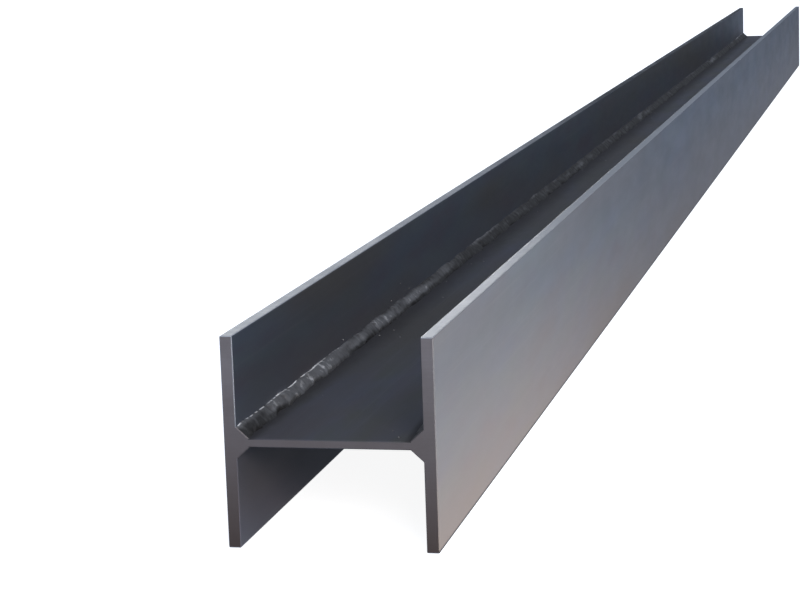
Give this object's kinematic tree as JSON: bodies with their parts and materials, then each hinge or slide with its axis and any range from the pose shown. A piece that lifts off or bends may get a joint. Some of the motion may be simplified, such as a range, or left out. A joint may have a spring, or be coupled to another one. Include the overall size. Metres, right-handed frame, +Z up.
{
  "type": "steel h-beam",
  "caption": "Welded steel H-beam: wide flange plates joined to a web plate by continuous fillet welds, a straight stock length for columns, girders and frames.",
  "frame": {"origin": "on the floor under the middle of the beam, between the lower edges of the flanges", "axes": "+X across the section from the left flange to the right, +Y along the beam, +Z up; the web is level and the flanges stand upright"},
  "size_m": [0.2, 6, 0.2],
  "materials": {
    "flange_plate": "hot-rolled mill scale, blue-grey and satin, with bare cut edges and sawn ends",
    "web_plate": "hot-rolled mill scale, blue-grey and mottled, with sawn ends",
    "weld_metal": "hand-welded bead, rippled and lumpy, dark grey"
  },
  "bodies": {
    "root": {"flange_plate_left": "flange_plate", "flange_plate_right": "flange_plate", "web_plate": "web_plate", "fillet_weld_lower_left": "weld_metal", "fillet_weld_upper_left": "weld_metal", "fillet_weld_lower_right": "weld_metal", "fillet_weld_upper_right": "weld_metal"}
  },
  "joints": []
}
